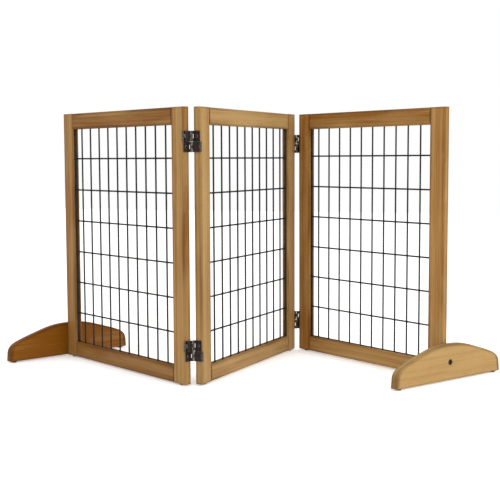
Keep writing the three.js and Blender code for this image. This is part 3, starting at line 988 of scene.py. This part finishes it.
# A knuckle: the leaf's sheet runs on past its edge, rises towards the roll by the
# square of how far it has come, and rolls round the pin on a circle
def curledKnuckle(pin, low, high, values):
    side = np.sign(pin[1])
    radius = values["barrel"] - values["sheet"] / 2
    plane = values["seat"] + values["sheet"] / 2
    angle = np.radians(np.linspace(180, 180 - values["curlTurn"], values["curlSteps"]))
    curl = np.stack((pin[0] + radius * np.cos(angle), abs(pin[1]) + radius * np.sin(angle)), 1)
    neckFrom, neckTo = (abs(pin[1]) - short for short in values["neckReach"])
    reach = np.linspace(neckFrom, neckTo, values["neckSteps"])
    blend = ((reach - reach[0]) / (reach[-1] - reach[0])) ** 2
    neck = np.stack((plane + blend * (curl[0, 0] - plane) * values["neckRise"], reach), 1)
    line = np.concatenate((neck, curl)) * (1, side)
    outline = sheetOutline(line, values["sheet"] * values["curlThinning"])
    # the whole knuckle carries this mask: wear, and a painted highlight on the barrel
    wear = np.full(len(outline), values["knuckleWearAndHighlight"])
    return easedPrism(outline, wear, low, high, values["ease"], values["easeSteps"], values["fade"])


# A flat plate with rounded corners and eased edges
def flatPlate(corners, radius, steps, start, stop, values):
    outline, edge = roundedOutline(corners, radius, steps, values["fade"])
    ease, easeSteps, fade = values["ease"], values["easeSteps"], values["fade"]
    return easedPrism(outline, edge, start, stop, ease, easeSteps, fade, values["rim"])


# Heights of a half of the hinge, from its pin's box: the leaf's two knuckles at its
# ends and the link's one between them
def halfHeights(pinNode, values):
    low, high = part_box(pinNode)
    knuckle, gap = values["knuckle"], values["gap"]
    return {
        "leaf": ((low[2], low[2] + knuckle), (high[2] - knuckle, high[2])),
        "link": (low[2] + knuckle + gap, high[2] - knuckle - gap),
        "whole": (low[2], high[2]),
    }


# The leaf's flat part, with a bay cut from one side where a pin is left open
def leafPlate(low, high, halfWidth, notch, values):
    corners = [(-halfWidth, low), (halfWidth, low), (halfWidth, high), (-halfWidth, high)]
    if notch:
        side, bottom, top = notch
        cut = halfWidth - values["openRelief"]
        bay = [(halfWidth, bottom), (cut, bottom), (cut, top), (halfWidth, top)]
        corners = [(-halfWidth, low), (halfWidth, low), *bay, (halfWidth, high), (-halfWidth, high)]
        if side < 0:
            corners = [(-y, z) for y, z in corners[::-1]]
    start = values["seat"]
    stop = start + values["sheet"]
    return reordered(flatPlate(corners, values["leafRadius"], 3, start, stop, values), alongX)


screwShape = {
    "radius": 0.0032,
    "proud": 0.00025,
    "sides": 48,
    "rimRings": (1, 0.72, 3),  # from, to and how many, as parts of the radius
    "headRings": (0.62, 0.05, 12),
    "armWidth": 0.00042,  # half of it
    "armLength": 0.66,
    "recessDepth": 0.0009,
    "baseDepth": 0.0006,
    "baseShare": 0.8,
    "wornRings": 3,
}


# A countersunk screw head with a cross recess: a shallow dome less a groove wherever
# the distance to the nearer arm's axis is under half the arm's width, fading outwards
def screwHead(values):
    sides, radius = values["sides"], values["radius"]
    angle = np.linspace(0, 2 * np.pi, sides, endpoint=False)
    radii = np.concatenate((np.linspace(*values["rimRings"]), np.linspace(*values["headRings"]))) * radius
    r, a = np.meshgrid(radii, angle, indexing="ij")
    x, y = r * np.cos(a), r * np.sin(a)
    dome = values["proud"] * (1 - (r / radius) ** 2)
    arm = np.minimum(np.abs(x), np.abs(y))
    across = (1 - (arm / values["armWidth"]) ** 4).clip(0, 1)
    outwards = (1 - (r / (values["armLength"] * radius)) ** 6).clip(0, 1)
    rings = np.stack((x, y, dome - values["recessDepth"] * across * outwards), 2)
    share = values["baseShare"]
    base = np.stack((x[0] * share, y[0] * share, np.full(sides, -values["baseDepth"])), 1)[None]
    masks = np.zeros((len(radii) + 1, sides, 2))
    masks[: values["wornRings"], :, 0] = 1
    return reordered(ringShell(np.concatenate((base, rings)), masks), alongX)


# One leaf on a stile's end face. `pins` gives, for each half, the pin's place in the
# end face's axes, its heights, and whether the far half is the one left open.
def makeLeaf(node, axes, body, pins, halfWidth, values):
    shells, notch = [], None
    low = min(heights["whole"][0] for _, heights, _ in pins) - values["gap"] / 2
    high = max(heights["whole"][1] for _, heights, _ in pins) + values["gap"] / 2
    for pin, heights, isOpen in pins:
        for knuckleLow, knuckleHigh in heights["leaf"]:
            shells.append(curledKnuckle(pin, knuckleLow, knuckleHigh, values))
            if isOpen:
                shells.append(pinShell(pin, knuckleLow, knuckleHigh, values))
        if isOpen:
            linkLow, linkHigh = heights["link"]
            notch = (np.sign(pin[1]), linkLow - values["gap"], linkHigh + values["gap"])
    shells.append(leafPlate(low, high, halfWidth, notch, values))
    makePiece(f"{node}_sheet", shells, axes, body, "agedBronze", [node])
    face = values["seat"] + values["sheet"]
    quarters = low + (high - low) * np.array(values["screwQuarters"])
    heads = [shifted(screwHead(screwShape), (face, 0, z)) for z in quarters]
    makePiece(f"{node}_screws", heads, axes, body, "screwBronze")


# A riveted pin: a straight shank whose ends are domed by a quarter of an ellipse
def pinShell(place, low, high, values):
    radius, dome = values["pinRadius"], values["pinDome"]
    a = np.linspace(*values["domeRings"]) * np.pi / 2
    end = np.stack((radius * np.sin(a), dome * (1 - np.cos(a))), 1)
    profile = np.concatenate((end + (0, low), end[::-1] * (1, -1) + (0, high)))
    return turned(profile, values["pinSides"], place[:2])


# The rivet takes its axis and its ends from the pin that it stands for
def makePin(node, body, values):
    middle = middleOf(node)
    low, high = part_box(node)
    axes = {"origin": np.zeros(3), "rows": np.eye(3)}
    shell = pinShell(middle, low[2], high[2], values)
    makePiece(f"{node}_rivet", [shell], axes, body, "agedBronze", [node])


# A link between two pins: a dog-bone whose round ends are the knuckles, and a broad
# web between the barrels. The web stops short at a pin that is left open.
def makeLink(node, body, start, stop, heights, openEnd, values):
    step = (stop - start) * (1, 1, 0)
    length = np.linalg.norm(step)
    along = step / length
    rows = np.array((along, (-along[1], along[0], 0), (0, 0, 1)))
    axes = {"origin": start * (1, 1, 0), "rows": rows}
    radius, t = values["barrel"], values["sheet"] / 2
    neck = np.arcsin(values["linkNeck"] * t / radius)
    far = np.linspace(-np.pi + neck, np.pi - neck, values["ballSteps"])
    nearBall = np.stack((radius * np.cos(far + np.pi), radius * np.sin(far + np.pi)), 1)
    farBall = np.stack((length + radius * np.cos(far), radius * np.sin(far)), 1)
    outline = counterClockwise(np.concatenate((farBall, nearBall)))
    # the whole link outline carries the knuckles' mask: wear, and a painted highlight on the barrels
    wear, ease = np.full(len(outline), values["knuckleWearAndHighlight"]), values["ease"]
    shells = [easedPrism(outline, wear, *heights["link"], ease, values["easeSteps"], values["fade"])]
    inset = values["webShoulder"]
    right = length - inset - (values["openRelief"] if openEnd else 0)
    low, high = heights["whole"]
    web = [(high, inset), (high, right), (low, right), (low, inset)]
    shells.append(reordered(flatPlate(web, values["webRadius"], 4, -t, t, values), alongY))
    makePiece(f"{node}_sheet", shells, axes, body, "agedBronze", [node])


# Pins keep their packed places. The open one is the outer pin mirrored across the
# middle of the outer panel's end face.
def makeHinge(side, level, values):
    outwards = 1 if side == "left" else -1  # the outer panel's hinged end
    label = f"{side}_{level}_hinge"
    midEnd, outerEnd = endAxes("mid", -outwards), endAxes(side, outwards)
    midPin, outerPin, crossPin = (middleOf(f"{label}_{kind}_pin") for kind in ("mid", "outer", "cross"))
    driveHalf = halfHeights(f"{label}_mid_pin", values)
    crossHalf = halfHeights(f"{label}_cross_pin", values)
    outerLocal = toLocal(outerPin, outerEnd)
    openLocal = outerLocal * (1, -1, 1)
    openPin = toWorld(openLocal, outerEnd)
    stile = localBox(f"mid_{'left' if side == 'left' else 'right'}_stile", panels["mid"])
    halfWidth = (stile[1][1] - stile[0][1]) / 2 - values["edgeInset"]
    midPins = [(toLocal(midPin, midEnd), driveHalf, False), (toLocal(crossPin, midEnd), crossHalf, False)]
    outerPins = [(outerLocal, driveHalf, False), (openLocal, crossHalf, True)]
    makeLeaf(f"{label}_mid_leaf", midEnd, "mid_panel", midPins, halfWidth, values)
    makeLeaf(f"{label}_outer_leaf", outerEnd, panelBodies[side], outerPins, halfWidth, values)
    drive, cross = f"{side}_drive_links", f"{side}_cross_links"
    makeLink(f"{label}_drive_link", drive, midPin, outerPin, driveHalf, False, values)
    makeLink(f"{label}_cross_link", cross, crossPin, openPin, crossHalf, True, values)
    for kind, body in (("mid", drive), ("outer", drive), ("cross", cross)):
        makePin(f"{label}_{kind}_pin", body, values)


for sideName in ("left", "right"):
    for levelName in ("bottom", "top"):
        makeHinge(sideName, levelName, hingeShape)
print("hinges made")

# ---- the stage and its light

stage = {
    "floorSize": 14,
    "floorColour": (0.93, 0.93, 0.925, 1),
    "floorGlow": 0.35,
    "floorNoise": (1.5, 2),  # scale and detail
    "floorRoughness": (0.3, 0.7, 0.75, 0.85),
    "skyColour": (1, 1, 1, 1),
    "skyStrength": 1.0,
}


# One flat square about the origin
def makeFloor(values):
    half = values["floorSize"] / 2
    mesh = bpy.data.meshes.new("paleFloor")
    corners = [(-half, -half, 0), (half, -half, 0), (half, half, 0), (-half, half, 0)]
    mesh.from_pydata(corners, [], [(0, 1, 2, 3)])
    material, tree, shader = newMaterial("paleFloor")
    place = addNode(tree, "ShaderNodeTexCoord").outputs["Object"]
    soft = noiseOf(tree, place, *values["floorNoise"])
    shader.inputs["Base Color"].default_value = values["floorColour"]
    shader.inputs["Emission Color"].default_value = values["floorColour"]
    shader.inputs["Emission Strength"].default_value = values["floorGlow"]
    tree.links.new(ranged(tree, soft, *values["floorRoughness"]), shader.inputs["Roughness"])
    mesh.materials.append(material)
    floor = bpy.data.objects.new("paleFloor", mesh)
    bpy.context.scene.collection.objects.link(floor)


def makeSky(values):
    world = bpy.data.worlds.new("paleSky")
    world.use_nodes = True
    sky = world.node_tree.nodes["Background"]
    sky.inputs["Color"].default_value = values["skyColour"]
    sky.inputs["Strength"].default_value = values["skyStrength"]
    bpy.context.scene.world = world


gateMiddle = (0, 0, 0.3)

# Each soft box stands at a place, aims at the gate's middle, and has a size and power
softBoxes = {
    "keyBox": {"place": (3.2, -1.0, 1.9), "size": 1.8, "power": 38, "colour": (1, 0.985, 0.96)},
    "frontBox": {"place": (-0.6, -3.4, 2.2), "size": 2.2, "power": 9, "colour": (1, 0.98, 0.95)},
}


def makeSoftBox(name, values):
    light = bpy.data.lights.new(name, "AREA")
    light.shape, light.size, light.energy = "SQUARE", values["size"], values["power"]
    light.color = values["colour"]
    box = bpy.data.objects.new(name, light)
    bpy.context.scene.collection.objects.link(box)
    place = Matrix.Translation(values["place"])
    aim = (Vector(gateMiddle) - Vector(values["place"])).to_track_quat("-Z", "Y")
    box.matrix_world = place @ aim.to_matrix().to_4x4()


makeFloor(stage)
makeSky(stage)
for boxName, boxValues in softBoxes.items():
    makeSoftBox(boxName, boxValues)
bpy.context.scene.view_settings.view_transform = "Standard"
print("stage lit")
